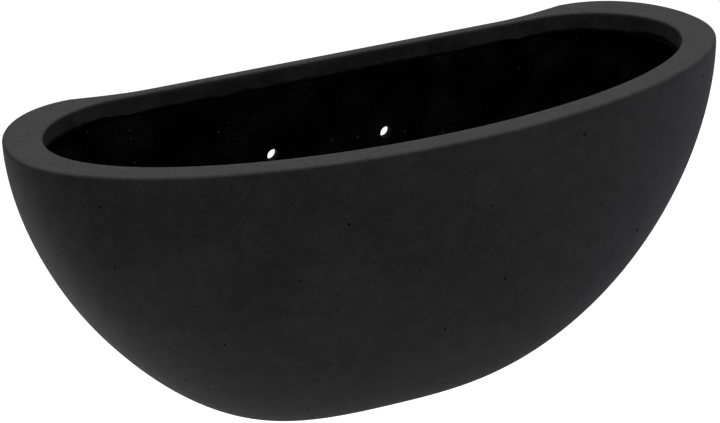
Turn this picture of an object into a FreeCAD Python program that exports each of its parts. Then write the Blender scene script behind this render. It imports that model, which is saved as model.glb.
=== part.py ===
import FreeCAD, Part
import math
import os

# Half-oval wall planter, cast in fibre-reinforced clay and hung by two holes in its back.
# Millimetres. X runs along the wall, +Y points into the wall, +Z is up.
# The shapes are built from the wall plane (y = 0), the rim's top (z = 0) and the middle of
# the length (x = 0). The last step moves them, so that the part's origin lies midway
# between the two wall holes, on the rear face of the back panel.

# --- outside of the bowl ---
overall_length = 600.0
overall_depth = 216.0          # wall to the front of the rim
overall_height = 269.0
widest_line = 85.0             # how far from the wall the rim is longest
rear_corner = 82.0             # length along the wall that each rounded rear corner takes
base_length = 150.0
base_depth = 70.0
end_fullness = (1.68, 1.50)    # powers of the end profile, from rim to base
front_fullness = (2.20, 2.10)  # powers of the front profile, from rim to base
rim_roundness = 2.0            # 2 makes the rim's front a true half ellipse
base_roundness = 2.9           # the base is squarer than the rim

# --- walls ---
wall = 6.0
floor = 8.0
panel_thickness = 6.5
back_inset = 9.0               # the panel's middle stands this far in front of the wall
panel_margin = 1.0             # from the end of the rear corner in to the panel's edge
panel_land = 2.0               # flat strip round the panel's rear edge, level with the shell
panel_base_margin = 20.0       # from the base up to the panel's lower edge
dish_ramp = 65.0               # width of the soft ramp from the panel's edge to its flat middle
dish_base_ramp = 42.0          # height of the same ramp above the panel's lower edge
coat = 0.8                     # waterproof coating inside

# --- rim ---
lip_front = 20.0               # width of the flat rim at the front
lip_end = 29.5                 # and at the two ends
lip_over_panel = 2.0           # how far it stands in from the back panel
lip_depth_back = 15.0
lip_depth_front = 26.0
opening_corner = 88.0          # length along the wall of each rear corner of the opening
outer_edge_radius = 2.5
inner_edge_radius = 1.5

# --- wall holes ---
hole_diameter = 10.0
hole_spacing = 100.0
hole_drop = 73.0               # from the rim's top down to the holes

# --- how finely the curves are drawn ---
levels = 13                    # steps from rim to base
front_steps = 8                # points in each quarter of the front
corner_steps = 5               # points in each rear corner
ramp_steps = 4                 # sections in the soft ramp
overrun = 5.0                  # how far a cutting shape runs past what it cuts

panel_front = back_inset + panel_thickness


def taper(top, base, fraction, powers):
    """A half-length or depth at this fraction of the height: upright at the rim, flat at the base."""
    first, second = powers
    left = max(0.0, 1.0 - max(0.0, fraction) ** first)
    return base + (top - base) * left ** (1.0 / second)


def spline(points):
    """A smooth edge through the points, with the same knots however long it is."""
    curve = Part.BSplineCurve()
    curve.interpolate(Points=points, Parameters=[i / (len(points) - 1) for i in range(len(points))])
    return curve.toShape()


def plan_wire(z, half, front, widest, corner, back, roundness):
    """One level of the bowl: half oval in front, a quarter ellipse at each rear corner."""
    side = []
    for i in range(corner_steps):
        angle = math.pi / 2 * (1 - i / corner_steps)
        x = half - corner + corner * math.cos(angle)
        y = -widest + (widest - back) * math.sin(angle)
        side.append((x, y))
    for i in range(front_steps):
        angle = math.pi / 2 * i / front_steps
        x = half * math.cos(angle) ** (2 / roundness)
        y = -widest - (front - widest) * math.sin(angle) ** (2 / roundness)
        side.append((x, y))
    points = [FreeCAD.Vector(-x, y, z) for x, y in side]
    points.append(FreeCAD.Vector(0, -front, z))
    points += [FreeCAD.Vector(x, y, z) for x, y in reversed(side)]
    return Part.Wire([spline(points), Part.makeLine(points[-1], points[0])])


def bowl(inset, lift, back):
    """A solid bowl: the outside when all are 0, or a cavity that leaves walls of that size."""
    height = overall_height - lift
    top_half = overall_length / 2 - inset
    top_front = overall_depth - inset
    wires = []
    for i in range(levels + 1):
        fraction = math.sin(math.pi / 2 * i / levels)
        half = taper(top_half, base_length / 2, fraction, end_fullness)
        front = taper(top_front, base_depth, fraction, front_fullness)
        widest = widest_line * front / top_front
        corner = (rear_corner - inset) * half / top_half
        roundness = rim_roundness + (base_roundness - rim_roundness) * fraction
        wires.append(plan_wire(-height * fraction, half, front, widest, corner, back, roundness))
    return Part.makeLoft(wires, True, False)


def panel_wire(y, top_half, base_half, height):
    """Outline of the back panel, seen from the wall, run past the rim's top."""
    side = []
    for i in range(levels + 1):
        fraction = math.sin(math.pi / 2 * i / levels)
        side.append((taper(top_half, base_half, fraction, end_fullness), -height * fraction))
    side[0] = (top_half, overrun)
    right = [FreeCAD.Vector(x, y, z) for x, z in side]
    left = [FreeCAD.Vector(-x, y, z) for x, z in reversed(side)]
    edges = [
        spline(right),
        Part.makeLine(right[-1], left[0]),
        spline(left),
        Part.makeLine(left[-1], right[0]),
    ]
    return Part.Wire(edges)


def panel_outline(y, drawn_in, raised):
    """The panel's outline, drawn in at its sides and raised at its lower edge."""
    half = overall_length / 2
    top_half = half - rear_corner - panel_margin - drawn_in
    base_half = base_length / 2 * top_half / half
    height = overall_height - panel_base_margin - raised
    return panel_wire(y, top_half, base_half, height)


def panel_block():
    """Everything behind the cavity that lies within the panel's outline."""
    face = Part.Face(panel_outline(-panel_front, 0, 0))
    return face.extrude(FreeCAD.Vector(0, panel_front + overrun, 0))


def dish():
    """What is hollowed out of the panel's rear face, with a soft ramp all round that ends flat."""
    wires = []
    for i in range(-1, ramp_steps + 1):
        ramp = i / ramp_steps
        sunk = back_inset * math.sin(math.pi / 2 * ramp)
        drawn_in = panel_land + ramp * dish_ramp
        raised = panel_land + ramp * dish_base_ramp
        wires.append(panel_outline(-sunk, drawn_in, raised))
    return Part.makeLoft(wires, True, False)


def opening():
    """The hole through the flat rim."""
    half = overall_length / 2 - lip_end
    front = overall_depth - lip_front
    back = panel_front + lip_over_panel
    outline = plan_wire(overrun, half, front, widest_line, opening_corner, back, rim_roundness)
    drop = lip_depth_front + lip_depth_back + overrun
    return Part.Face(outline).extrude(FreeCAD.Vector(0, 0, -drop))


def lip_zone(top):
    """All below this level and above the lip's underside, which slopes down to the front."""
    half = overall_length / 2 + overrun
    corners = [
        (0.0, top),
        (0.0, -lip_depth_back),
        (-panel_front, -lip_depth_back),
        (-overall_depth, -lip_depth_front),
        (-overall_depth, top),
    ]
    points = [FreeCAD.Vector(-half, y, z) for y, z in corners]
    face = Part.Face(Part.makePolygon(points + points[:1]))
    return face.extrude(FreeCAD.Vector(2 * half, 0, 0))


def wall_holes():
    """The two drills that go through the coating and the panel into the wall."""
    drills = []
    for side in (-1, 1):
        start = FreeCAD.Vector(side * hole_spacing / 2, -panel_front - overrun, -hole_drop)
        length = panel_front + 2 * overrun
        drills.append(Part.makeCylinder(hole_diameter / 2, length, start, FreeCAD.Vector(0, 1, 0)))
    return Part.makeCompound(drills)


def round_top(shape, radius):
    """Rounds every edge in the rim's top plane that lies within the planter's length."""
    edges = []
    for edge in shape.Edges:
        box = edge.BoundBox
        level = abs(box.ZMin) + abs(box.ZMax) < 0.01
        if level and abs(box.XMin) < overall_length / 2 + overrun / 2:
            edges.append(edge)
    return shape.makeFillet(radius, edges)


def make_pieces():
    outside = round_top(bowl(0, 0, 0).cut(dish()), outer_edge_radius)
    cavity = bowl(wall, floor, panel_front)
    coated_cavity = bowl(wall + coat, floor + coat, panel_front + coat)
    rim = round_top(lip_zone(0).cut(opening()), inner_edge_radius)
    block = panel_block()
    drills = wall_holes()

    shell = outside.cut(cavity).cut(block)
    panel = outside.common(block).cut(drills)
    lip = cavity.common(rim)
    lining = cavity.cut(coated_cavity).cut(lip_zone(overrun)).cut(drills)
    return {
        "bowl_shell": shell,
        "back_panel": panel,
        "rim_lip": lip,
        "waterproof_lining": lining,
    }


os.makedirs("parts", exist_ok=True)
for name, shape in make_pieces().items():
    shape.translate(FreeCAD.Vector(0, back_inset, hole_drop))
    shape.exportStep("parts/" + name + ".step")
    print(name, "solids", len(shape.Solids), "valid", shape.isValid(),
          "litres", round(shape.Volume / 1e6, 3), "faces", len(shape.Faces))
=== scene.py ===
import math
import random
from typing import NamedTuple

import bmesh
import bpy
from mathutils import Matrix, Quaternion, Vector, noise


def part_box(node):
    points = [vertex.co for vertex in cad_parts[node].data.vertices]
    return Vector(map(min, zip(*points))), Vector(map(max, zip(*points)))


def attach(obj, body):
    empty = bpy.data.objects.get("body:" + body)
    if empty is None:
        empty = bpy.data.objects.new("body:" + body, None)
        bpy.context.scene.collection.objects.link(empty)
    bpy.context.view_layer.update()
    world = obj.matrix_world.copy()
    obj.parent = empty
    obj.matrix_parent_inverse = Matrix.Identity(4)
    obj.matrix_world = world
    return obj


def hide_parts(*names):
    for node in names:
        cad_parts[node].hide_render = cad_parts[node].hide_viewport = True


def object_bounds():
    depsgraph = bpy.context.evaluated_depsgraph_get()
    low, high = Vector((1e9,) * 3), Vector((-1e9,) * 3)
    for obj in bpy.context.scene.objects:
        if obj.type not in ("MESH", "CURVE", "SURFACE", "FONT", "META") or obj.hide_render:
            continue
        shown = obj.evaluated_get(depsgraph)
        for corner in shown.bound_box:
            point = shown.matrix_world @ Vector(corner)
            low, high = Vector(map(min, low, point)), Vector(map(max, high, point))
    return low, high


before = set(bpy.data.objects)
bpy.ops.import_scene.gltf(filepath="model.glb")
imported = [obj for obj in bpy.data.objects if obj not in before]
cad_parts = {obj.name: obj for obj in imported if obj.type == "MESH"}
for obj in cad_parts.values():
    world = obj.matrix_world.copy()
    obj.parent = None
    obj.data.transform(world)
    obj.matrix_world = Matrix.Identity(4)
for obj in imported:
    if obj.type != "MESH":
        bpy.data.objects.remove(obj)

bl_info = {
    "name": "Half-Oval Wall Planter",
    "version": (1, 0, 0),
    "blender": (4, 5, 0),
    "location": "3D View > Sidebar > Planter",
    "description": "Casts, rounds and finishes a black fibre-clay wall planter and sets it in a plain studio",
    "category": "Object",
}

CAD_LOW, CAD_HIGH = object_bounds()
PANEL_LOW, PANEL_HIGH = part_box("back_panel")

# How finely the clay is drawn: about 3 mm a face, which leaves room for a pinhole in each.
FRONT_COLUMNS = 116            # in each quarter of the front
CORNER_COLUMNS = 44            # in each rear corner
BACK_COLUMNS = 24              # along the flat back
SKIN_LEVELS = 108              # from rim to base outside
CORE_LEVELS = 20               # from rim to floor inside
ROUND_STEPS = 5                # rings in each rounded edge
BASE_RINGS = 6                 # from the middle of the base to its edge
TOP_RINGS = 7                  # across the flat rim
MOUTH_RINGS = 6                # down the lip's inner wall
SEAM_RINGS = 3                 # up the lip's hidden side
SEAM_DEPTH = 0.08              # how far down that side ends, as a share of the bowl's height
SEAT_LEVELS = 40               # in the outline of the back panel's seat
SHARP_EDGE = math.radians(32)  # what is sharper than this stays sharp in the shading
TINY = 1e-5                    # less than any real distance
LEVEL = 0.999                  # a face whose normal rises more than this is level

# The form of a pinhole, in shares of its radius.
PIT_FRAME = 0.2                # flat ring left round it
PIT_STEPS = ((0.10, 0.9), (0.35, 0.9))  # how far in and down each step of its wall goes
PIT_ROOM = 1.4                 # least size of the faces that it is sunk into
PIT_SIZES = 5                  # how many radii there are
PIT_TO_WALL = 0.004            # no pinhole lies this near the house wall

# Where the coating ends, and where painted shade darkens the lip's inner wall and the walls of the wall
# holes.
PAINT_LINE = 0.0135            # from the rim's top down to the coating's upper edge on the lip
PAINT_RAGGED = 0.008           # how unevenly it was brushed
PAINT_EDGE = (0.45, 0.55)      # over which share of that the edge goes from bare to full
LIP_SHADE_BAND = (0.0015, 0.0040)        # from the rim's top down to where the painted shade on the lip's inner wall starts and is full
LIP_SHADE_SHARE = 0.55              # how far that painted shade goes towards the coating's colour
HOLE_SPACING = 0.100           # from one wall hole to the other
HOLE_RADIUS = 0.005
HOLE_EDGE = (0.0004, 0.0002)   # how far outside a hole the painted shade on its wall fades


class Pattern(NamedTuple):
    """A cloudy pattern: cells a metre, detail, and the values at which it starts and is full."""

    scale: float
    detail: float
    start: float = 0.0
    full: float = 1.0


# Patterns of the clay, from the widest to the finest.
CLOUDS = Pattern(13.0, 5.0, 0.36, 0.66)
SMUDGES = Pattern(75.0, 4.0, 0.40, 0.70)
MOTTLE = Pattern(260.0, 3.0, 0.34, 0.70)
SAND = Pattern(420.0, 3.0)
GRIT = Pattern(640.0, 1.0, 0.40, 0.62)
GRAIN = Pattern(1100.0, 2.0)
SPECK_AREAS = Pattern(180.0, 1.0, 0.50, 0.66)
AIR_HOLE_AREAS = Pattern(70.0, 1.0, 0.55, 0.62)

# Patterns of the coating.
PATCHES = Pattern(32.0, 4.0, 0.42, 0.66)
STROKES = Pattern(90.0, 5.0, 0.35, 0.65)
STROKE_STRETCH = 5.0           # how many times longer than high a brush stroke is
LUMPS = Pattern(240.0, 3.0)
FLECK_AREAS = Pattern(60.0, 1.0, 0.57, 0.64)
# Patches of the painted shade on the lip's inner wall.
LIP_SHADE_PATCHES = Pattern(38.0, 4.0, 0.35, 0.65)
RAGS = Pattern(45.0, 5.0)

# Round spots: cells a metre, and the edge and the core of a spot in shares of a cell.
SPECKS = (330.0, 0.30, 0.12)
AIR_HOLES = (120.0, 0.12, 0.06)
FLECKS = (130.0, 0.17, 0.05)

# How much each of them pales the clay, and how much more it does on the flat rim's top, where the extra
# paleness is painted highlight.
CLOUDS_PALE = 0.20
SMUDGES_PALE = 0.14
MOTTLE_PALE = 0.15
# On the rim's top, grit and specks are paled more: painted highlight over the real speckle.
GRIT_PALE, GRIT_HIGHLIGHT_ON_RIM = 0.03, 0.20
SPECKS_PALE, SPECKS_HIGHLIGHT_ON_RIM = 0.2, 0.7
# Painted highlight: the flat rim's top is paled because it faces the light.
RIM_PAINTED_HIGHLIGHT = 0.41
RIM_HIGHLIGHT_FADE = (0.0022, 0.0004)    # below the rim's top, from where the painted highlight is gone to where it is full

# How much each of them raises the surface or makes it matt.
GRAIN_HEIGHT = 0.35
SAND_HEIGHT = 0.65
AIR_HOLE_HEIGHT = -2.0
SAND_MATT = 0.5
LUMPS_HEIGHT = 0.4
CLAY_MATT_SPREAD = (-0.06, 0.08)     # from the clay's roughness, least and most
COATING_MATT_SPREAD = (-0.08, 0.14)

# How the surfaces take light.
CLAY_IOR = 1.45
COATING_IOR = 1.4
THIN_COATING = 7.0             # how many times paler the coating is where it is thin
# Painted shade inside the tiny air holes, which are darkened to this colour.
AIR_HOLE_SHADE = (0.004, 0.004, 0.004, 1)
AIR_HOLE_COVER = 0.8           # how much the painted shade in such a hole darkens the clay's colour
RELIEF = 0.0003                # height of the finest relief
CLAY_RELIEF = 0.5              # how much of it shows
COATING_RELIEF = 0.6
STROKE_THIN = (0.4, 0.6)       # how thin the coating is under a stroke, and more between two


# --------------------------------------------------------------------------------------
# Sizes and finishes that a user can change


class PlanterBowl(bpy.types.PropertyGroup):
    """The bowl's outside, its walls and its flat rim."""

    half_length: bpy.props.FloatProperty(
        name="Half Length", description="From the middle to either end of the rim",
        default=CAD_HIGH.x, unit="LENGTH")
    depth: bpy.props.FloatProperty(
        name="Depth", description="From the wall to the front of the rim",
        default=CAD_HIGH.y - CAD_LOW.y, unit="LENGTH")
    height: bpy.props.FloatProperty(
        name="Height", description="From the base to the top of the rim",
        default=CAD_HIGH.z - CAD_LOW.z, unit="LENGTH")
    wall_plane: bpy.props.FloatProperty(
        name="Wall Plane", description="Where the house wall stands behind the planter",
        default=CAD_HIGH.y, unit="LENGTH")
    rim_level: bpy.props.FloatProperty(
        name="Rim Level", description="Height of the flat rim above the wall holes",
        default=CAD_HIGH.z, unit="LENGTH")
    widest_line: bpy.props.FloatProperty(
        name="Widest Line", description="How far from the wall the rim is longest",
        default=0.085, unit="LENGTH")
    rear_corner: bpy.props.FloatProperty(
        name="Rear Corner", description="Length along the wall of each rounded rear corner",
        default=0.082, unit="LENGTH")
    base_half_length: bpy.props.FloatProperty(
        name="Base Half Length", description="Half the length of the small flat base",
        default=0.075, unit="LENGTH")
    base_depth: bpy.props.FloatProperty(
        name="Base Depth", description="From the wall to the front of the base",
        default=0.070, unit="LENGTH")
    end_fullness: bpy.props.FloatVectorProperty(
        name="End Fullness", description="Powers of the end profile, from rim to base",
        default=(1.68, 1.50), size=2)
    front_fullness: bpy.props.FloatVectorProperty(
        name="Front Fullness", description="Powers of the front profile, from rim to base",
        default=(2.20, 2.10), size=2)
    rim_roundness: bpy.props.FloatProperty(
        name="Rim Roundness", description="2 makes the rim's front a half ellipse", default=2.0)
    base_roundness: bpy.props.FloatProperty(
        name="Base Roundness", description="The base is a little squarer", default=2.9)
    wall: bpy.props.FloatProperty(
        name="Wall", description="Thickness of the clay skin", default=0.006, unit="LENGTH")
    floor: bpy.props.FloatProperty(
        name="Floor", description="Thickness of the clay at the base", default=0.008, unit="LENGTH")
    outer_round: bpy.props.FloatProperty(
        name="Outer Edge", description="Radius of the rim's outer edge",
        default=0.0025, unit="LENGTH")


class PlanterRim(bpy.types.PropertyGroup):
    """The thick lip that is built up inside the bowl's edge."""

    front: bpy.props.FloatProperty(
        name="Front Width", description="Width of the flat rim at the front",
        default=0.020, unit="LENGTH")
    end: bpy.props.FloatProperty(
        name="End Width", description="Width of the flat rim at both ends",
        default=0.0295, unit="LENGTH")
    over_panel: bpy.props.FloatProperty(
        name="Over Panel", description="How far the lip stands in from the back panel",
        default=0.002, unit="LENGTH")
    depth_back: bpy.props.FloatProperty(
        name="Depth at Back", description="Height of the lip along the back",
        default=0.015, unit="LENGTH")
    depth_front: bpy.props.FloatProperty(
        name="Depth at Front", description="Height of the lip at the front",
        default=0.026, unit="LENGTH")
    corner: bpy.props.FloatProperty(
        name="Rear Corner", description="Length along the wall of each rear corner of the opening",
        default=0.088, unit="LENGTH")
    inner_round: bpy.props.FloatProperty(
        name="Inner Edge", description="Radius of the rim's inner edge",
        default=0.0015, unit="LENGTH")


class PlanterPits(bpy.types.PropertyGroup):
    """The small air holes and the slight waviness that a cast surface keeps."""

    wave: bpy.props.FloatProperty(
        name="Waviness", description="How deep the hand-laid surface waves in",
        default=0.00025, unit="LENGTH", precision=5)
    wave_length: bpy.props.FloatProperty(
        name="Wave Length", description="Typical distance from one wave to the next",
        default=0.07, unit="LENGTH")
    large_count: bpy.props.IntProperty(
        name="Larger Pits", description="Air holes that show from a step away", default=90)
    small_count: bpy.props.IntProperty(
        name="Smaller Pits", description="Air holes that show close by", default=260)
    rim_count: bpy.props.IntProperty(
        name="Rim Pits", description="Air holes in the flat rim", default=34)
    large_radius: bpy.props.FloatVectorProperty(
        name="Larger Radius", description="Smallest and largest radius of the larger pits",
        default=(0.0007, 0.0014), size=2, unit="LENGTH", precision=5)
    small_radius: bpy.props.FloatVectorProperty(
        name="Smaller Radius", description="Smallest and largest radius of the smaller pits",
        default=(0.0003, 0.0006), size=2, unit="LENGTH", precision=5)
    seed: bpy.props.IntProperty(
        name="Seed", description="Which scatter of pits is used", default=11)


class PlanterFinish(bpy.types.PropertyGroup):
    """Colours of the clay and of the coating inside."""

    clay: bpy.props.FloatVectorProperty(
        name="Clay", description="Main colour of the black clay",
        default=(0.0225, 0.0225, 0.0230), size=3, subtype="COLOR")
    # This colour is also the painted highlight on the flat rim's top.
    clay_dust_and_highlight: bpy.props.FloatVectorProperty(
        name="Clay Dust", description="Paler bloom and specks on the clay",
        default=(0.062, 0.062, 0.063), size=3, subtype="COLOR")
    clay_roughness: bpy.props.FloatProperty(
        name="Clay Roughness", description="How matt the clay is", default=0.75,
        min=0.0, max=1.0, subtype="FACTOR")
    clay_gloss: bpy.props.FloatProperty(
        name="Clay Gloss", description="How strongly the clay reflects, 0.5 being usual",
        default=0.06, min=0.0, max=1.0, subtype="FACTOR")
    coating: bpy.props.FloatVectorProperty(
        name="Coating", description="Main colour of the waterproof coating",
        default=(0.0012, 0.0012, 0.0013), size=3, subtype="COLOR")
    coating_roughness: bpy.props.FloatProperty(
        name="Coating Roughness", description="How matt the coating is", default=0.75,
        min=0.0, max=1.0, subtype="FACTOR")
    coating_gloss: bpy.props.FloatProperty(
        name="Coating Gloss", description="How strongly the coating reflects, 0.5 being usual",
        default=0.01, min=0.0, max=1.0, subtype="FACTOR")


class PlanterStudio(bpy.types.PropertyGroup):
    """The camera, the floor and the lights."""

    turn: bpy.props.FloatProperty(
        name="Turn", description="How far to the left of straight ahead the camera stands",
        default=math.radians(28.164), subtype="ANGLE")
    tilt: bpy.props.FloatProperty(
        name="Tilt", description="How far down the camera looks",
        default=math.radians(23.264), subtype="ANGLE")
    distance: bpy.props.FloatProperty(
        name="Distance", description="From the camera to the point that it looks at",
        default=3.3643, unit="LENGTH")
    aim: bpy.props.FloatVectorProperty(
        name="Aim", description="The point that the camera looks at",
        default=(0.0040, -0.0495, -0.0426), size=3, subtype="TRANSLATION")
    lens: bpy.props.FloatProperty(
        name="Lens", description="Focal length in millimetres", default=215.65)
    floor_drop: bpy.props.FloatProperty(
        name="Floor Drop", description="How far the floor lies below the hung planter",
        default=0.6, unit="LENGTH")
    floor_shade: bpy.props.FloatProperty(
        name="Floor Shade", description="How pale the floor is", default=0.8, min=0.0, max=1.0)
    floor_size: bpy.props.FloatProperty(
        name="Floor Size", description="Width of the floor", default=30.0, unit="LENGTH")
    floor_glow: bpy.props.FloatProperty(
        name="Floor Glow", description="How much of the floor's white is its own, seen directly",
        default=0.92)
    floor_in_gloss: bpy.props.FloatProperty(
        name="Floor in Gloss", description="How much of that white shows in reflections",
        default=0.2)
    even_light: bpy.props.FloatProperty(
        name="Even Light", description="Strength of the even light from all round", default=0.02)


GROUPS = {
    "planter_bowl": PlanterBowl,
    "planter_rim": PlanterRim,
    "planter_pits": PlanterPits,
    "planter_finish": PlanterFinish,
    "planter_studio": PlanterStudio,
}


# --------------------------------------------------------------------------------------
# The shape of the clay


def taper(top, base, fraction, powers):
    """A half-length or depth at this fraction of the height: upright at the rim, flat at the base."""
    first, second = powers
    left = max(0.0, 1.0 - fraction ** first)
    return base + (top - base) * left ** (1.0 / second)


def plan_ring(bowl, level, half, front, widest, corner, back, roundness):
    """One level of the bowl: from the right of the flat back round the front to its left."""
    side = []
    for i in range(CORNER_COLUMNS):
        angle = math.pi / 2 * (1 - i / CORNER_COLUMNS)
        side.append((half - corner + corner * math.cos(angle),
                     -widest + (widest - back) * math.sin(angle)))
    for i in range(FRONT_COLUMNS):
        angle = math.pi / 2 * i / FRONT_COLUMNS
        side.append((half * math.cos(angle) ** (2 / roundness),
                     -widest - (front - widest) * math.sin(angle) ** (2 / roundness)))
    flat = half - corner
    points = side + [(0.0, -front)] + [(-x, y) for x, y in reversed(side)]
    points += [(-flat + 2 * flat * i / BACK_COLUMNS, -back) for i in range(1, BACK_COLUMNS)]
    return [Vector((x, y + bowl.wall_plane, level + bowl.rim_level)) for x, y in points]


def bowl_ring(bowl, fraction, inset, lift, back):
    """A level of the outside when the last three are 0, or of a cavity that leaves such walls."""
    top_half = bowl.half_length - inset
    top_front = bowl.depth - inset
    half = taper(top_half, bowl.base_half_length, fraction, bowl.end_fullness)
    front = taper(top_front, bowl.base_depth, fraction, bowl.front_fullness)
    widest = bowl.widest_line * front / top_front
    corner = (bowl.rear_corner - inset) * half / top_half
    roundness = bowl.rim_roundness + (bowl.base_roundness - bowl.rim_roundness) * fraction
    level = -(bowl.height - lift) * fraction
    return plan_ring(bowl, level, half, front, widest, corner, back, roundness)


def bowl_rings(bowl, steps, inset, lift, back):
    """Such levels from the rim down, closer together towards the base."""
    turns = [math.pi / 2 * i / steps for i in range(steps + 1)]
    return [bowl_ring(bowl, math.sin(turn), inset, lift, back) for turn in turns]


def hub(ring):
    """The ring drawn together in its middle."""
    middle = sum(ring, Vector()) / len(ring)
    return [middle.copy() for _ in ring]


def moved_out(ring, distance, level):
    """The ring moved outwards by this distance, square to itself, and set at this level."""
    moved = []
    for i, point in enumerate(ring):
        along = ring[(i + 1) % len(ring)] - ring[i - 1]
        outward = Vector((-along.y, along.x, 0.0)).normalized()
        moved.append(Vector((point.x, point.y, level)) + outward * distance)
    return moved


def mixed(ring, other, share):
    """The ring that lies this share of the way from one ring to another."""
    return [a.lerp(b, share) for a, b in zip(ring, other)]


def rounded(ring, radius, top, outwards):
    """Rings that turn a wall into the flat rim: inwards from outside, outwards from inside."""
    side = 1 if outwards else -1
    rings = []
    for i in range(ROUND_STEPS + 1):
        angle = math.pi / 2 * i / ROUND_STEPS
        level = top - radius + radius * math.sin(angle)
        rings.append(moved_out(ring, side * radius * (1 - math.cos(angle)), level))
    return rings


def skin_through(rings, closed=False):
    """A grid bent to run through the rings, with its seam and its poles closed."""
    if closed:
        rings = rings + rings[:1]
    columns = len(rings[0])
    shape = bmesh.new()
    made = bmesh.ops.create_grid(
        shape, x_segments=len(rings) - 1, y_segments=columns, size=0.5)
    for vertex in made["verts"]:
        row = round((vertex.co.x + 0.5) * (len(rings) - 1))
        column = round((vertex.co.y + 0.5) * columns) % columns
        vertex.co = rings[row][column]
    bmesh.ops.remove_doubles(shape, verts=shape.verts, dist=1e-7)
    bmesh.ops.recalc_face_normals(shape, faces=shape.faces)
    shape.normal_update()
    return shape


def finished_piece(name, shape):
    """The mesh as an object, shaded smooth but for its sharp edges."""
    mesh = bpy.data.meshes.new(name)
    shape.to_mesh(mesh)
    shape.free()
    piece = bpy.data.objects.new(name, mesh)
    bpy.context.scene.collection.objects.link(piece)
    mesh.shade_smooth()
    mesh.set_sharp_from_angle(angle=SHARP_EDGE)
    return piece


def wave_in(shape, pits, keep_below):
    """Lets the outside wave inwards a little, fading out towards the rim."""
    for vertex in shape.verts:
        if not vertex.tag:
            continue
        fade = min(1.0, max(0.0, (keep_below - vertex.co.z) / pits.wave_length))
        swell = 0.5 + 0.5 * noise.noise(vertex.co / pits.wave_length)
        vertex.co -= vertex.normal * pits.wave * swell * fade


def sink_pits(shape, places, radius):
    """Sinks one round pinhole of this radius into the surface at each of these corners."""
    ends = []
    for corner in places:
        near = {edge.other_vert(corner) for edge in corner.link_edges} | {corner}
        ends.append([v for face in corner.link_faces for v in face.verts if v not in near][:2])
    bmesh.ops.dissolve_verts(shape, verts=places)
    faces = [next(face for face in first.link_faces if second in face.verts)
             for first, second in ends]
    bmesh.ops.inset_individual(shape, faces=faces, thickness=radius * PIT_FRAME)
    for face in faces:
        face.normal_update()
        centre = face.calc_center_median()
        arm = face.verts[0].co - centre
        arm = (arm - face.normal * arm.dot(face.normal)).normalized()
        for i, vertex in enumerate(face.verts):
            turn = Quaternion(face.normal, 2 * math.pi * i / len(face.verts))
            vertex.co = centre + turn @ arm * radius
    for narrower, deeper in PIT_STEPS:
        bmesh.ops.inset_individual(
            shape, faces=faces, thickness=radius * narrower, depth=-radius * deeper)


def scatter_pits(shape, corners, count, radii, dice):
    """Sinks pinholes of these radii at corners that have room for them, no two side by side."""
    chosen = [[] for _ in range(PIT_SIZES)]
    taken = set()
    for _ in range(count):
        corner = corners[dice.randrange(len(corners))]
        size = int(PIT_SIZES * dice.random() ** 2)
        radius = radii[0] + (radii[1] - radii[0]) * size / (PIT_SIZES - 1)
        around = {near for face in corner.link_faces for near in face.verts}
        area = sum(face.calc_area() for face in corner.link_faces)
        room = area / 4 / max(edge.calc_length() for edge in corner.link_edges)
        if around & taken or room < PIT_ROOM * radius:
            continue
        taken |= around
        chosen[size].append((corner, radius))
    for group in chosen:
        if group:
            sink_pits(shape, [corner for corner, _ in group], group[0][1])
    return [corner for corner in corners if corner.is_valid and corner not in taken]


def set_as_clay(piece):
    """Lets the piece belong to the planter's one body."""
    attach(piece, "root")


def panel_seat(bowl):
    """A block with the back panel's outline, which is cut out of the bowl's back."""
    margin = 0.005
    ratio = bowl.base_half_length / bowl.half_length
    height = PANEL_HIGH.z - PANEL_LOW.z
    through = bowl.wall_plane - PANEL_LOW.y + 2 * margin
    shape = bmesh.new()
    made = bmesh.ops.create_grid(shape, x_segments=1, y_segments=SEAT_LEVELS, size=0.5)
    for vertex in made["verts"]:
        fraction = math.sin(math.pi / 2 * (0.5 - vertex.co.y))
        half = taper(PANEL_HIGH.x, PANEL_HIGH.x * ratio, fraction, bowl.end_fullness)
        level = PANEL_HIGH.z + margin if fraction < TINY else PANEL_HIGH.z - height * fraction
        vertex.co = Vector((math.copysign(half, vertex.co.x), PANEL_LOW.y - margin, level))
    back = bmesh.ops.extrude_face_region(shape, geom=shape.faces[:])
    verts = [item for item in back["geom"] if isinstance(item, bmesh.types.BMVert)]
    bmesh.ops.translate(shape, verts=verts, vec=(0, through, 0))
    bmesh.ops.recalc_face_normals(shape, faces=shape.faces)
    return finished_piece("panel_seat", shape)


def cut_out(piece, cutter):
    """Cuts one closed piece out of another and removes the cutter."""
    cut = piece.modifiers.new("Cut", "BOOLEAN")
    cut.operation = "DIFFERENCE"
    cut.solver = "EXACT"
    cut.object = cutter
    bpy.context.view_layer.update()
    graph = bpy.context.evaluated_depsgraph_get()
    mesh = bpy.data.meshes.new_from_object(piece.evaluated_get(graph))
    piece.modifiers.clear()
    piece.data = mesh
    mesh.name = piece.name
    bpy.data.objects.remove(cutter)


# --------------------------------------------------------------------------------------
# The finishes


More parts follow.
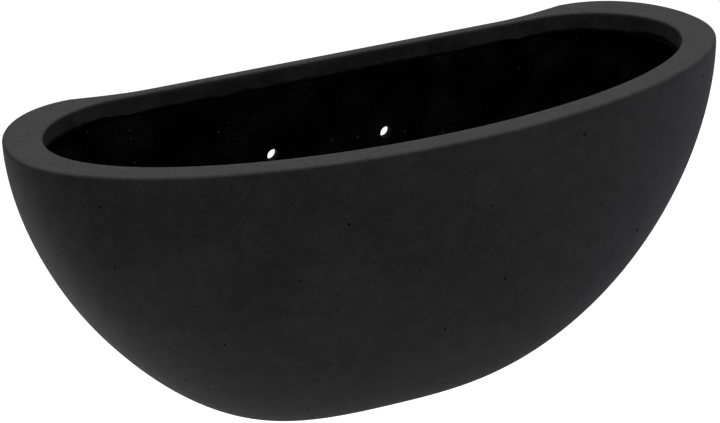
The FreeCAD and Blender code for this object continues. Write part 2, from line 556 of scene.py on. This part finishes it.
class Nodes:
    """Short ways to add and join the nodes of one tree."""

    def __init__(self, tree):
        self.tree = tree
        tree.nodes.clear()

    def add(self, kind, **values):
        node = self.tree.nodes.new(kind)
        for name, value in values.items():
            if name in node.inputs:
                node.inputs[name].default_value = value
            else:
                setattr(node, name, value)
        return node

    def join(self, start, end):
        self.tree.links.new(start, end)

    def math(self, operation, first, second=None, clamp=False):
        node = self.add("ShaderNodeMath", operation=operation, use_clamp=clamp)
        for socket, value in zip(node.inputs, (first, second)):
            if isinstance(value, bpy.types.NodeSocket):
                self.join(value, socket)
            elif value is not None:
                socket.default_value = value
        return node.outputs[0]

    def times(self, first, second):
        return self.math("MULTIPLY", first, second)

    def plus(self, first, second):
        return self.math("ADD", first, second)

    def sum_of(self, *parts):
        """The sum of some values, each taken by its share."""
        total = None
        for value, share in parts:
            part = self.times(value, share)
            total = part if total is None else self.plus(total, part)
        return total

    def split(self, place):
        node = self.add("ShaderNodeSeparateXYZ")
        self.join(place, node.inputs[0])
        return node.outputs

    def below(self, level, place):
        """How far a place lies below this level."""
        return self.math("SUBTRACT", level, self.split(place)["Z"])

    def noise(self, place, pattern):
        node = self.add(
            "ShaderNodeTexNoise", Scale=pattern.scale, Detail=pattern.detail, Roughness=0.55)
        self.join(place, node.inputs["Vector"])
        return node.outputs["Fac"]

    def cloudy(self, place, pattern):
        """The pattern's noise: 0 up to where it starts, 1 from where it is full."""
        return self.between(self.noise(place, pattern), pattern.start, pattern.full)

    def between(self, value, low, high):
        """0 below low, 1 above high, smooth in between."""
        node = self.add("ShaderNodeMapRange", interpolation_type="SMOOTHSTEP")
        node.inputs["From Min"].default_value = low
        node.inputs["From Max"].default_value = high
        self.join(value, node.inputs["Value"])
        return node.outputs["Result"]

    def spots(self, place, scale, edge, core):
        """Round spots scattered by cells: 1 within the core, 0 beyond the edge."""
        cells = self.add("ShaderNodeTexVoronoi", Scale=scale, Randomness=1.0)
        self.join(place, cells.inputs["Vector"])
        return self.between(cells.outputs["Distance"], edge, core)

    def mix(self, share, first, second):
        node = self.add("ShaderNodeMix", data_type="RGBA")
        for index, value in ((0, share), (6, first), (7, second)):
            if isinstance(value, bpy.types.NodeSocket):
                self.join(value, node.inputs[index])
            else:
                node.inputs[index].default_value = value
        return node.outputs[2]


def new_group(name, inputs, outputs):
    """An empty shader node group with these sockets, and its two end nodes."""
    tree = bpy.data.node_groups.new(name, "ShaderNodeTree")
    nodes = Nodes(tree)
    for label, kind, value in inputs:
        socket = tree.interface.new_socket(label, in_out="INPUT", socket_type=kind)
        if value is not None:
            socket.default_value = value
    for label, kind in outputs:
        tree.interface.new_socket(label, in_out="OUTPUT", socket_type=kind)
    return tree, nodes, nodes.add("NodeGroupInput"), nodes.add("NodeGroupOutput")


def cast_surface_group():
    """Cloudy paleness, grain, pale specks and tiny air holes of cast clay, with painted shade in the air
    holes and a painted highlight on the flat rim's top.
    """
    tree, nodes, given, result = new_group(
        "Cast Surface",
        [("Vector", "NodeSocketVector", None),
         ("Dark", "NodeSocketColor", (0.03, 0.03, 0.03, 1)),
         ("Pale", "NodeSocketColor", (0.08, 0.08, 0.08, 1)),
         ("Rim Level", "NodeSocketFloat", 0.0)],
        [("Color", "NodeSocketColor"), ("Matt", "NodeSocketFloat"), ("Height", "NodeSocketFloat")])
    place = given.outputs["Vector"]
    # rim is 1 on the flat rim's top, where the clay gets a painted highlight.
    rim = nodes.between(nodes.below(given.outputs["Rim Level"], place), *RIM_HIGHLIGHT_FADE)
    clouds = nodes.cloudy(place, CLOUDS)
    grit = nodes.cloudy(place, GRIT)
    sand = nodes.noise(place, SAND)
    speck = nodes.times(nodes.spots(place, *SPECKS), nodes.cloudy(place, SPECK_AREAS))
    hole = nodes.times(nodes.spots(place, *AIR_HOLES), nodes.cloudy(place, AIR_HOLE_AREAS))

    bloom_and_highlight = nodes.sum_of(
        (clouds, CLOUDS_PALE), (nodes.cloudy(place, SMUDGES), SMUDGES_PALE),
        (nodes.cloudy(place, MOTTLE), MOTTLE_PALE))
    bloom_and_highlight = nodes.plus(
        bloom_and_highlight, nodes.times(grit, nodes.plus(nodes.times(rim, GRIT_HIGHLIGHT_ON_RIM), GRIT_PALE)))
    # Painted highlight: the flat rim's top is paled.
    bloom_and_highlight = nodes.plus(bloom_and_highlight, nodes.times(rim, RIM_PAINTED_HIGHLIGHT))
    specks = nodes.times(
        speck, nodes.plus(nodes.times(rim, SPECKS_HIGHLIGHT_ON_RIM), SPECKS_PALE))
    pale = nodes.math("ADD", bloom_and_highlight, specks, clamp=True)
    colour = nodes.mix(pale, given.outputs["Dark"], given.outputs["Pale"])
    # Painted shade in the tiny air holes.
    colour = nodes.mix(nodes.times(hole, AIR_HOLE_COVER), colour, AIR_HOLE_SHADE)

    height = nodes.sum_of(
        (nodes.noise(place, GRAIN), GRAIN_HEIGHT), (sand, SAND_HEIGHT), (hole, AIR_HOLE_HEIGHT))
    nodes.join(colour, result.inputs["Color"])
    nodes.join(nodes.plus(clouds, nodes.times(sand, SAND_MATT)), result.inputs["Matt"])
    nodes.join(height, result.inputs["Height"])
    return tree


def coating_edge_and_painted_shade(nodes, place, rim_level):
    """1 where the coating runs onto the lip's lower edge, and patchy painted shade on the lip's inner wall
    above that.
    """
    below = nodes.below(rim_level, place)
    ragged = nodes.times(nodes.noise(place, RAGS), PAINT_RAGGED)
    thick = nodes.between(
        nodes.plus(below, ragged), *(PAINT_LINE + PAINT_RAGGED * share for share in PAINT_EDGE))
    # Painted shade on the lip's inner wall.
    painted_lip_shade = nodes.times(nodes.cloudy(place, LIP_SHADE_PATCHES), nodes.between(below, *LIP_SHADE_BAND))
    return nodes.math("MAXIMUM", thick, nodes.times(painted_lip_shade, LIP_SHADE_SHARE))


def painted_shade_in_holes(nodes, place, rim_level):
    """1 on the walls of the two wall holes, which get painted shade in the coating's colour."""
    parts = nodes.split(place)
    across = nodes.math("SUBTRACT", nodes.math("ABSOLUTE", parts["X"]), HOLE_SPACING / 2)
    away = nodes.math("SQRT", nodes.plus(nodes.math("POWER", across, 2.0),
                                         nodes.math("POWER", parts["Z"], 2.0)))
    return nodes.between(away, *(HOLE_RADIUS + outside for outside in HOLE_EDGE))


def join_shader(nodes, colour, height, relief, ior, gloss):
    """A surface of this colour and fine relief, joined to the output. It still needs its roughness."""
    shader = nodes.add("ShaderNodeBsdfPrincipled")
    shader.inputs["IOR"].default_value = ior
    shader.inputs["Specular IOR Level"].default_value = gloss
    bump = nodes.add("ShaderNodeBump", Strength=relief, Distance=RELIEF)
    nodes.join(colour, shader.inputs["Base Color"])
    nodes.join(height, bump.inputs["Height"])
    nodes.join(bump.outputs["Normal"], shader.inputs["Normal"])
    nodes.join(shader.outputs["BSDF"], nodes.add("ShaderNodeOutputMaterial").inputs["Surface"])
    return shader


def join_roughness(nodes, shader, matt, most, low, high):
    """Lets the roughness run from low to high as the given value runs from 0 to its most."""
    spread = nodes.add("ShaderNodeMapRange")
    spread.inputs["From Max"].default_value = most
    spread.inputs["To Min"].default_value = low
    spread.inputs["To Max"].default_value = high
    nodes.join(matt, spread.inputs["Value"])
    nodes.join(spread.outputs["Result"], shader.inputs["Roughness"])


def new_material(name):
    """The nodes of an empty material, and the place on the object that they read."""
    material = bpy.data.materials.new(name)
    material.use_nodes = True
    nodes = Nodes(material.node_tree)
    return nodes, nodes.add("ShaderNodeTexCoord").outputs["Object"]


def clay_material(name, finish, rim_level, coating_and_shade=None):
    """Matt black clay that takes the coating's colour where the given mask says so: the coating's real edge
    on the lip, and painted shade.
    """
    nodes, place = new_material(name)
    group = bpy.data.node_groups.get("Cast Surface") or cast_surface_group()
    surface = nodes.add("ShaderNodeGroup", node_tree=group)
    surface.inputs["Dark"].default_value = (*finish.clay, 1)
    surface.inputs["Pale"].default_value = (*finish.clay_dust_and_highlight, 1)
    surface.inputs["Rim Level"].default_value = rim_level
    nodes.join(place, surface.inputs["Vector"])
    colour = surface.outputs["Color"]
    # The mask's painted shade also takes the coating's colour.
    if coating_and_shade:
        colour = nodes.mix(coating_and_shade(nodes, place, rim_level), colour, (*finish.coating, 1))
    shader = join_shader(
        nodes, colour, surface.outputs["Height"], CLAY_RELIEF, CLAY_IOR, finish.clay_gloss)
    join_roughness(nodes, shader, surface.outputs["Matt"], 1.0 + SAND_MATT,
                   *(finish.clay_roughness + step for step in CLAY_MATT_SPREAD))


def coating_material(finish):
    """Brushed-on black coating: level strokes, thick and thin places, a few grey flecks."""
    nodes, place = new_material("brushed_coating")
    stretch = nodes.add("ShaderNodeMapping")
    stretch.inputs["Scale"].default_value = (1.0, 1.0, STROKE_STRETCH)
    nodes.join(place, stretch.inputs["Vector"])
    strokes = nodes.noise(stretch.outputs["Vector"], STROKES)
    fleck = nodes.times(nodes.spots(place, *FLECKS), nodes.cloudy(place, FLECK_AREAS))

    under, between = STROKE_THIN
    thin = nodes.plus(nodes.times(nodes.between(strokes, STROKES.start, STROKES.full), between), under)
    pale = (*(channel * THIN_COATING for channel in finish.coating), 1)
    colour = nodes.mix(
        nodes.times(nodes.cloudy(place, PATCHES), thin), (*finish.coating, 1), pale)
    colour = nodes.mix(fleck, colour, (*finish.clay_dust_and_highlight, 1))
    height = nodes.plus(strokes, nodes.times(nodes.noise(place, LUMPS), LUMPS_HEIGHT))
    shader = join_shader(
        nodes, colour, height, COATING_RELIEF, COATING_IOR, finish.coating_gloss)
    join_roughness(nodes, shader, strokes, 1.0,
                   *(finish.coating_roughness + step for step in COATING_MATT_SPREAD))


def finish_with(piece, material):
    """Gives the whole piece one material."""
    if piece.material_slots:
        for slot in piece.material_slots:
            slot.material = material
    else:
        piece.data.materials.append(material)


# --------------------------------------------------------------------------------------
# Operators


class PLANTER_OT_finishes(bpy.types.Operator):
    """Mix the materials that the pieces share"""

    bl_idname = "planter.finishes"
    bl_label = "Mix Finishes"

    def execute(self, context):
        finish = context.scene.planter_finish
        rim_level = context.scene.planter_bowl.rim_level
        clay_material("cast_clay", finish, rim_level)
        # The coating's edge on the lip, with painted shade on the lip's inner wall.
        clay_material("rim_clay", finish, rim_level, coating_edge_and_painted_shade)
        # Painted shade on the walls of the two wall holes.
        clay_material("panel_clay", finish, rim_level, painted_shade_in_holes)
        coating_material(finish)
        return {"FINISHED"}


class PLANTER_OT_bowl(bpy.types.Operator):
    """Cast the bowl's skin with its rounded outer edge, its waviness and its air holes"""

    bl_idname = "planter.bowl"
    bl_label = "Cast Bowl"

    def execute(self, context):
        bowl = context.scene.planter_bowl
        pits = context.scene.planter_pits
        top = bowl.rim_level
        back = bowl.wall_plane - PANEL_LOW.y
        mouth, *outer = bowl_rings(bowl, SKIN_LEVELS, 0, 0, 0)
        outer.reverse()
        base = [mixed(hub(outer[0]), outer[0], ring / BASE_RINGS) for ring in range(BASE_RINGS)]
        edge = rounded(mouth, bowl.outer_round, top, False)
        core = bowl_rings(bowl, CORE_LEVELS, bowl.wall, bowl.floor, back)
        shape = skin_through(base + outer + edge + core + [hub(core[-1])])

        tag_outside(shape, bowl, top - bowl.outer_round)
        wave_in(shape, pits, top - bowl.outer_round)
        shape.normal_update()
        dice = random.Random(pits.seed)
        corners = [corner for corner in shape.verts
                   if corner.tag and corner.co.y < bowl.wall_plane - PIT_TO_WALL
                   and len(corner.link_faces) == 4]
        corners = scatter_pits(shape, corners, pits.large_count, pits.large_radius, dice)
        scatter_pits(shape, corners, pits.small_count, pits.small_radius, dice)
        piece = finished_piece("cast_bowl", shape)
        cut_out(piece, panel_seat(bowl))
        finish_with(piece, bpy.data.materials["cast_clay"])
        set_as_clay(piece)
        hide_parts("bowl_shell")
        return {"FINISHED"}


def tag_outside(shape, bowl, below):
    """Tags the corners of the outside wall, from just under the rim down to the base."""
    inside = bowl.wall * 0.5
    for vertex in shape.verts:
        fraction = min(1.0, (bowl.rim_level - vertex.co.z) / bowl.height)
        half = taper(bowl.half_length, bowl.base_half_length, fraction, bowl.end_fullness)
        vertex.tag = False
        if CAD_LOW.z + TINY < vertex.co.z < below:
            out = Vector((vertex.co.x, vertex.co.y - (bowl.wall_plane - bowl.widest_line), 0))
            vertex.tag = vertex.normal.dot(out) > 0 and abs(vertex.co.x) <= half + inside


class PLANTER_OT_rim(bpy.types.Operator):
    """Build up the thick lip inside the bowl's edge, with its flat top and sloping underside"""

    bl_idname = "planter.rim"
    bl_label = "Build Rim"

    def execute(self, context):
        bowl = context.scene.planter_bowl
        rim = context.scene.planter_rim
        pits = context.scene.planter_pits
        top = bowl.rim_level
        back = bowl.wall_plane - PANEL_LOW.y
        seam = bowl_ring(bowl, 0, bowl.wall, bowl.floor, back)
        mouth = plan_ring(
            bowl, 0, bowl.half_length - rim.end, bowl.depth - rim.front, bowl.widest_line,
            rim.corner, back + rim.over_panel, bowl.rim_roundness)
        edge = rounded(mouth, rim.inner_round, top, True)
        edge.reverse()
        across = [mixed(seam, edge[0], ring / TOP_RINGS) for ring in range(TOP_RINGS)]

        def underside(ring):
            """The ring dropped to the lip's lower face, which slopes down to the front."""
            dropped = []
            for point in ring:
                reach = (PANEL_LOW.y - point.y) / (bowl.depth - back)
                drop = rim.depth_back + (rim.depth_front - rim.depth_back) * max(0.0, reach)
                dropped.append(Vector((point.x, point.y, top - drop)))
            return dropped

        low_mouth = underside(mouth)
        walls = [mixed(edge[-1], low_mouth, (ring + 1) / MOUTH_RINGS) for ring in range(MOUTH_RINGS)]
        low_seam = underside(bowl_ring(bowl, SEAM_DEPTH, bowl.wall, bowl.floor, back))
        outer = [mixed(low_seam, seam, ring / SEAM_RINGS) for ring in range(SEAM_RINGS)]
        shape = skin_through(across + edge + walls + outer, closed=True)
        dice = random.Random(pits.seed + 1)
        corners = [corner for corner in shape.verts
                   if all(face.normal.z > LEVEL for face in corner.link_faces)]
        scatter_pits(shape, corners, pits.rim_count, pits.small_radius, dice)
        piece = finished_piece("flat_rim", shape)
        finish_with(piece, bpy.data.materials["rim_clay"])
        set_as_clay(piece)
        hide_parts("rim_lip")
        return {"FINISHED"}


class PLANTER_OT_panel(bpy.types.Operator):
    """Finish the back panel, which keeps its shape and its two wall holes"""

    bl_idname = "planter.panel"
    bl_label = "Finish Panel"

    def execute(self, context):
        # panel_clay darkens the walls of the two wall holes with painted shade.
        finish_with(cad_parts["back_panel"], bpy.data.materials["panel_clay"])
        return {"FINISHED"}


class PLANTER_OT_coating(bpy.types.Operator):
    """Brush the waterproof coating onto the inside"""

    bl_idname = "planter.coating"
    bl_label = "Brush Coating"

    def execute(self, context):
        finish_with(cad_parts["waterproof_lining"], bpy.data.materials["brushed_coating"])
        return {"FINISHED"}


class PLANTER_OT_stage(bpy.types.Operator):
    """Lay the floor, hang the soft lights and place the camera"""

    bl_idname = "planter.stage"
    bl_label = "Set Stage"

    def execute(self, context):
        studio = context.scene.planter_studio
        lay_floor(studio)
        light_world(context.scene, studio)
        for lamp in LAMPS:
            hang_lamp(*lamp)
        place_camera(context.scene, studio)
        context.scene.view_settings.view_transform = "Standard"
        return {"FINISHED"}


def lay_floor(studio):
    """A pale floor well below the planter, because it hangs on a wall. It can't be seen from below."""
    shape = bmesh.new()
    bmesh.ops.create_grid(shape, x_segments=1, y_segments=1, size=studio.floor_size / 2)
    bmesh.ops.translate(
        shape, verts=shape.verts, vec=(0, 0, CAD_LOW.z - studio.floor_drop))
    floor = finished_piece("floor", shape)
    material = bpy.data.materials.new("pale_floor")
    material.use_nodes = True
    nodes = Nodes(material.node_tree)
    matt = nodes.add("ShaderNodeBsdfDiffuse", Color=(*[studio.floor_shade] * 3, 1))
    glow = nodes.add("ShaderNodeEmission", Color=(1, 1, 1, 1))
    seen = seen_directly(nodes, studio.floor_in_gloss)
    nodes.join(nodes.times(seen, studio.floor_glow), glow.inputs["Strength"])
    both = nodes.add("ShaderNodeAddShader")
    nodes.join(matt.outputs["BSDF"], both.inputs[0])
    nodes.join(glow.outputs["Emission"], both.inputs[1])
    clear = nodes.add("ShaderNodeBsdfTransparent")
    pick = nodes.add("ShaderNodeMixShader")
    nodes.join(nodes.add("ShaderNodeNewGeometry").outputs["Backfacing"], pick.inputs["Fac"])
    nodes.join(both.outputs["Shader"], pick.inputs[1])
    nodes.join(clear.outputs["BSDF"], pick.inputs[2])
    nodes.join(pick.outputs["Shader"], nodes.add("ShaderNodeOutputMaterial").inputs["Surface"])
    material.cycles.emission_sampling = "NONE"
    finish_with(floor, material)


def seen_directly(nodes, in_gloss=1.0):
    """1 for what is seen as it is or through glass, a share of that in gloss, 0 for other light."""
    path = nodes.add("ShaderNodeLightPath")
    gloss = nodes.times(path.outputs["Is Glossy Ray"], in_gloss)
    seen = nodes.math("MAXIMUM", path.outputs["Is Camera Ray"], gloss)
    return nodes.math("MAXIMUM", seen, path.outputs["Is Transmission Ray"])


def light_world(scene, studio):
    """A white background, and a dim even light for all that isn't seen directly."""
    world = bpy.data.worlds.new("studio")
    scene.world = world
    world.cycles.sampling_method = "NONE"
    world.use_nodes = True
    nodes = Nodes(world.node_tree)
    background = nodes.add("ShaderNodeBackground", Color=(1, 1, 1, 1))
    nodes.join(nodes.math("MAXIMUM", seen_directly(nodes), studio.even_light),
               background.inputs["Strength"])
    nodes.join(background.outputs["Background"],
               nodes.add("ShaderNodeOutputWorld").inputs["Surface"])


SENSOR_WIDTH = 36.0            # in millimetres, as the lens is
FARTHEST = 100.0               # how far the camera sees

# Name, place, the point it faces, width and height in metres, watts and colour.
LAMPS = [
    ("overhead_softbox", (0.0, 0.35, 1.7), (0.0, -0.1, 0.0), (2.4, 1.6), 24.0, (1, 1, 1)),
    ("top_front_softbox", (0.0, -1.2, 1.6), (0.0, -0.1, 0.0), (2.0, 1.0), 14.2, (1, 1, 1)),
    ("left_strip", (-1.5, 0.2, -0.5), (0.0, -0.1, -0.05), (1.0, 0.5), 1.6, (1, 1, 1)),
    ("rear_left_strip", (-0.7, 0.6, -0.7), (0.0, -0.1, -0.1), (0.8, 0.5), 7.0, (1, 1, 1)),
    ("right_strip", (1.6, -0.3, -0.55), (0.0, -0.1, -0.05), (1.0, 0.6), 9.6, (0.95, 0.90, 1)),
    ("low_left_strip", (-0.4, -0.3, -0.72), (0.0, -0.1, -0.15), (0.5, 0.4), 1.8, (1, 1, 1)),
]


def hang_lamp(name, place, aim, size, power, colour):
    """A soft lamp at this place that faces its aim."""
    lamp = bpy.data.lights.new(name, "AREA")
    lamp.shape = "RECTANGLE"
    lamp.size, lamp.size_y = size
    lamp.energy = power
    lamp.color = colour
    hung = bpy.data.objects.new(name, lamp)
    bpy.context.scene.collection.objects.link(hung)
    hung.location = place
    hung.rotation_mode = "QUATERNION"
    hung.rotation_quaternion = (Vector(aim) - Vector(place)).to_track_quat("-Z", "Y")


def place_camera(scene, studio):
    """The camera looks at its aim from the front left and from above."""
    lens = bpy.data.cameras.new("camera")
    lens.lens = studio.lens
    lens.sensor_width = SENSOR_WIDTH
    lens.clip_end = FARTHEST
    camera = bpy.data.objects.new("camera", lens)
    scene.collection.objects.link(camera)
    back = Vector((
        -math.sin(studio.turn) * math.cos(studio.tilt),
        -math.cos(studio.turn) * math.cos(studio.tilt),
        math.sin(studio.tilt)))
    camera.location = Vector(studio.aim) + back * studio.distance
    camera.rotation_mode = "QUATERNION"
    camera.rotation_quaternion = (-back).to_track_quat("-Z", "Y")
    scene.camera = camera


class PLANTER_PT_sidebar(bpy.types.Panel):
    """Lists the steps and the sizes in the sidebar"""

    bl_idname = "PLANTER_PT_sidebar"
    bl_label = "Wall Planter"
    bl_space_type = "VIEW_3D"
    bl_region_type = "UI"
    bl_category = "Planter"

    def draw(self, context):
        for step in STEPS:
            self.layout.operator(step.bl_idname)
        for name in GROUPS:
            group = getattr(context.scene, name)
            box = self.layout.box()
            for label in group.bl_rna.properties.keys():
                if label not in ("rna_type", "name"):
                    box.prop(group, label)


STEPS = [
    PLANTER_OT_stage,
    PLANTER_OT_finishes,
    PLANTER_OT_bowl,
    PLANTER_OT_rim,
    PLANTER_OT_panel,
    PLANTER_OT_coating,
]


def register():
    for group in GROUPS.values():
        bpy.utils.register_class(group)
    for step in STEPS + [PLANTER_PT_sidebar]:
        bpy.utils.register_class(step)
    for name, group in GROUPS.items():
        setattr(bpy.types.Scene, name, bpy.props.PointerProperty(type=group))


def unregister():
    for name in GROUPS:
        delattr(bpy.types.Scene, name)
    for step in reversed(STEPS + [PLANTER_PT_sidebar]):
        bpy.utils.unregister_class(step)
    for group in reversed(GROUPS.values()):
        bpy.utils.unregister_class(group)


def main():
    register()
    bpy.ops.planter.stage()
    bpy.ops.planter.finishes()
    bpy.ops.planter.bowl()
    bpy.ops.planter.rim()
    bpy.ops.planter.panel()
    bpy.ops.planter.coating()


if __name__ == "__main__":
    main()
